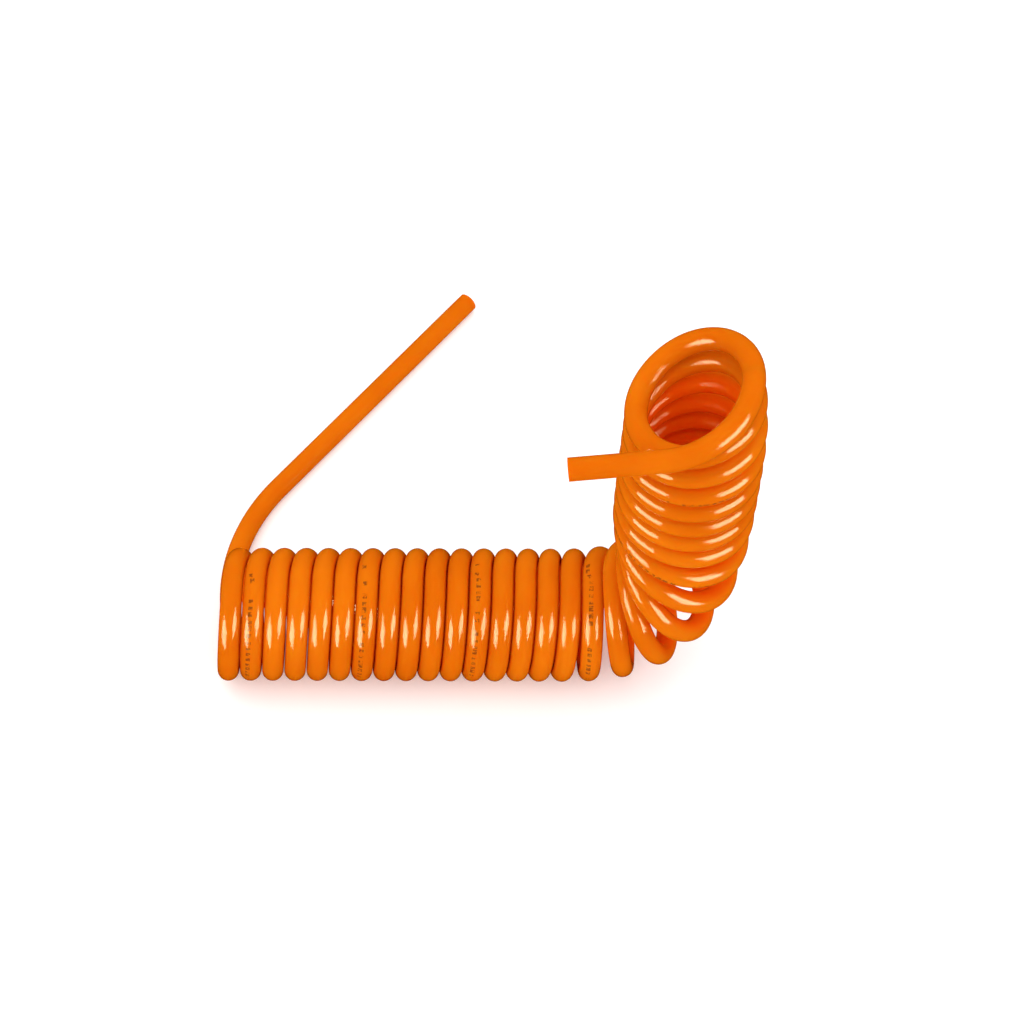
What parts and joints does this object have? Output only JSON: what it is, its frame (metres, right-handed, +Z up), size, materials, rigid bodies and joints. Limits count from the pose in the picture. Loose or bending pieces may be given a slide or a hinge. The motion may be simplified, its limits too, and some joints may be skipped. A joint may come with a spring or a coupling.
{
  "type": "coiled air hose",
  "caption": "Coiled polyurethane air hose with two plain square-cut ends, lying on its side with one half curled upright.",
  "frame": {"origin": "on the surface that the hose lies on, under the middle of its outline", "axes": "+X along the lying stretch of the coil, from its inlet to its bend; +Y from the coil to the inlet's cut end behind it; +Z up"},
  "size_m": [0.2002, 0.2024, 0.1795],
  "materials": {
    "hose": "gloss"
  },
  "bodies": {
    "turn_02": {"turn_02": "hose"},
    "inlet_run": {"turn_01": "hose", "inlet_lead": "hose", "inlet_bend": "hose", "inlet_end": "hose"},
    "turn_03": {"turn_03": "hose"},
    "turn_04": {"turn_04": "hose"},
    "turn_05": {"turn_05": "hose"},
    "turn_06": {"turn_06": "hose"},
    "turn_07": {"turn_07": "hose"},
    "turn_08": {"turn_08": "hose"},
    "turn_09": {"turn_09": "hose"},
    "turn_10": {"turn_10": "hose"},
    "turn_11": {"turn_11": "hose"},
    "turn_12": {"turn_12": "hose"},
    "turn_13": {"turn_13": "hose"},
    "turn_14": {"turn_14": "hose"},
    "turn_15": {"turn_15": "hose"},
    "turn_16": {"turn_16": "hose"},
    "turn_17": {"turn_17": "hose"},
    "turn_18": {"turn_18": "hose"},
    "turn_19": {"turn_19": "hose"},
    "turn_20": {"turn_20": "hose"},
    "turn_21": {"turn_21": "hose"},
    "turn_22": {"turn_22": "hose"},
    "turn_23": {"turn_23": "hose"},
    "turn_24": {"turn_24": "hose"},
    "turn_25": {"turn_25": "hose"},
    "turn_26": {"turn_26": "hose"},
    "turn_27": {"turn_27": "hose"},
    "turn_28": {"turn_28": "hose"},
    "turn_29": {"turn_29": "hose"},
    "outlet_run": {"turn_30": "hose", "outlet_arc": "hose", "outlet_bend": "hose", "outlet_end": "hose"}
  },
  "joints": [
    {"name": "inlet_swing", "type": "hinge", "parent": "turn_02", "child": "inlet_run", "pos_m": [-0.092, -0.06846, 0.025], "axis": [0.9951, 0, -0.0989], "range_deg": [0, 60]},
    {"name": "coil_stretch", "type": "slide", "parent": "turn_02", "child": "turn_03", "axis": [1, 0, 0], "range_m": [0, 0.025], "stiffness_N_per_m": 80},
    {"name": "stretch_04", "type": "slide", "parent": "turn_03", "child": "turn_04", "axis": [1, 0, 0], "range_m": [0, 0.025], "stiffness_N_per_m": 80},
    {"name": "stretch_05", "type": "slide", "parent": "turn_04", "child": "turn_05", "axis": [1, 0, 0], "range_m": [0, 0.025], "stiffness_N_per_m": 80},
    {"name": "stretch_06", "type": "slide", "parent": "turn_05", "child": "turn_06", "axis": [1, 0, 0], "range_m": [0, 0.025], "stiffness_N_per_m": 80},
    {"name": "stretch_07", "type": "slide", "parent": "turn_06", "child": "turn_07", "axis": [1, 0, 0], "range_m": [0, 0.025], "stiffness_N_per_m": 80},
    {"name": "stretch_08", "type": "slide", "parent": "turn_07", "child": "turn_08", "axis": [1, 0, 0], "range_m": [0, 0.025], "stiffness_N_per_m": 80},
    {"name": "stretch_09", "type": "slide", "parent": "turn_08", "child": "turn_09", "axis": [1, 0, 0], "range_m": [0, 0.025], "stiffness_N_per_m": 80},
    {"name": "stretch_10", "type": "slide", "parent": "turn_09", "child": "turn_10", "axis": [1, 0, 0], "range_m": [0, 0.025], "stiffness_N_per_m": 80},
    {"name": "stretch_11", "type": "slide", "parent": "turn_10", "child": "turn_11", "axis": [1, 0, 0], "range_m": [0, 0.025], "stiffness_N_per_m": 80},
    {"name": "stretch_12", "type": "slide", "parent": "turn_11", "child": "turn_12", "axis": [1, 0, 0], "range_m": [0, 0.025], "stiffness_N_per_m": 80},
    {"name": "stretch_13", "type": "slide", "parent": "turn_12", "child": "turn_13", "axis": [1, 0, 0], "range_m": [0, 0.025], "stiffness_N_per_m": 80},
    {"name": "stretch_14", "type": "slide", "parent": "turn_13", "child": "turn_14", "axis": [1, 0, 0], "range_m": [0, 0.025], "stiffness_N_per_m": 80},
    {"name": "stretch_15", "type": "slide", "parent": "turn_14", "child": "turn_15", "axis": [1, 0, 0], "range_m": [0, 0.025], "stiffness_N_per_m": 80},
    {"name": "stretch_16", "type": "slide", "parent": "turn_15", "child": "turn_16", "axis": [0.9999, 0, 0.0124], "range_m": [0, 0.025], "stiffness_N_per_m": 80},
    {"name": "bend_17", "type": "hinge", "parent": "turn_16", "child": "turn_17", "pos_m": [0.02357, -0.06846, 0.04491], "axis": [0, -1, 0], "range_deg": [-3.33, 0.19]},
    {"name": "coil_bend", "type": "hinge", "parent": "turn_17", "child": "turn_18", "pos_m": [0.02685, -0.06846, 0.04461], "axis": [0, -1, 0], "range_deg": [-8.8, 0.5]},
    {"name": "bend_19", "type": "hinge", "parent": "turn_18", "child": "turn_19", "pos_m": [0.02971, -0.06846, 0.04484], "axis": [0, -1, 0], "range_deg": [-14.35, 0.82]},
    {"name": "bend_20", "type": "hinge", "parent": "turn_19", "child": "turn_20", "pos_m": [0.03431, -0.06846, 0.04753], "axis": [0, -1, 0], "range_deg": [-17.52, 1]},
    {"name": "bend_21", "type": "hinge", "parent": "turn_20", "child": "turn_21", "pos_m": [0.04248, -0.06846, 0.05748], "axis": [0, -1, 0], "range_deg": [-18.17, 1.03]},
    {"name": "bend_22", "type": "hinge", "parent": "turn_21", "child": "turn_22", "pos_m": [0.04908, -0.06846, 0.07253], "axis": [0, -1, 0], "range_deg": [-14.49, 0.82]},
    {"name": "bend_23", "type": "hinge", "parent": "turn_22", "child": "turn_23", "pos_m": [0.05239, -0.06846, 0.08903], "axis": [0, -1, 0], "range_deg": [-9.16, 0.52]},
    {"name": "bend_24", "type": "hinge", "parent": "turn_23", "child": "turn_24", "pos_m": [0.05326, -0.06846, 0.10632], "axis": [0, -1, 0], "range_deg": [-4.16, 0.24]},
    {"name": "stretch_25", "type": "slide", "parent": "turn_24", "child": "turn_25", "axis": [0.0263, 0, 0.9997], "range_m": [0, 0.025], "stiffness_N_per_m": 80},
    {"name": "stretch_26", "type": "slide", "parent": "turn_25", "child": "turn_26", "axis": [0.0271, 0, 0.9996], "range_m": [0, 0.025], "stiffness_N_per_m": 80},
    {"name": "bend_27", "type": "hinge", "parent": "turn_26", "child": "turn_27", "pos_m": [0.05084, -0.06846, 0.1546], "axis": [0, -1, 0], "range_deg": [-2.7, 0.15]},
    {"name": "bend_28", "type": "hinge", "parent": "turn_27", "child": "turn_28", "pos_m": [0.05039, -0.06846, 0.15669], "axis": [0, -1, 0], "range_deg": [-5.4, 0.31]},
    {"name": "bend_29", "type": "hinge", "parent": "turn_28", "child": "turn_29", "pos_m": [0.04782, -0.06846, 0.16746], "axis": [0, -1, 0], "range_deg": [-6.74, 0.38]},
    {"name": "outlet_swing", "type": "hinge", "parent": "turn_29", "child": "outlet_run", "pos_m": [0.07378, -0.06846, 0.16875], "axis": [-0.3331, 0, 0.9429], "range_deg": [-45, 45]}
  ],
  "couplings": [
    {"joint": "stretch_04", "follows": "coil_stretch", "ratio": 1},
    {"joint": "stretch_05", "follows": "coil_stretch", "ratio": 1},
    {"joint": "stretch_06", "follows": "coil_stretch", "ratio": 1},
    {"joint": "stretch_07", "follows": "coil_stretch", "ratio": 1},
    {"joint": "stretch_08", "follows": "coil_stretch", "ratio": 1},
    {"joint": "stretch_09", "follows": "coil_stretch", "ratio": 1},
    {"joint": "stretch_10", "follows": "coil_stretch", "ratio": 1},
    {"joint": "stretch_11", "follows": "coil_stretch", "ratio": 1},
    {"joint": "stretch_12", "follows": "coil_stretch", "ratio": 1},
    {"joint": "stretch_13", "follows": "coil_stretch", "ratio": 1},
    {"joint": "stretch_14", "follows": "coil_stretch", "ratio": 1},
    {"joint": "stretch_15", "follows": "coil_stretch", "ratio": 1},
    {"joint": "stretch_16", "follows": "coil_stretch", "ratio": 1},
    {"joint": "bend_17", "follows": "coil_bend", "ratio": 0.37796},
    {"joint": "bend_19", "follows": "coil_bend", "ratio": 1.6304},
    {"joint": "bend_20", "follows": "coil_bend", "ratio": 1.9908},
    {"joint": "bend_21", "follows": "coil_bend", "ratio": 2.0644},
    {"joint": "bend_22", "follows": "coil_bend", "ratio": 1.6468},
    {"joint": "bend_23", "follows": "coil_bend", "ratio": 1.0409},
    {"joint": "bend_24", "follows": "coil_bend", "ratio": 0.47295},
    {"joint": "stretch_25", "follows": "coil_stretch", "ratio": 1},
    {"joint": "stretch_26", "follows": "coil_stretch", "ratio": 1},
    {"joint": "bend_27", "follows": "coil_bend", "ratio": 0.30651},
    {"joint": "bend_28", "follows": "coil_bend", "ratio": 0.61335},
    {"joint": "bend_29", "follows": "coil_bend", "ratio": 0.76627}
  ]
}
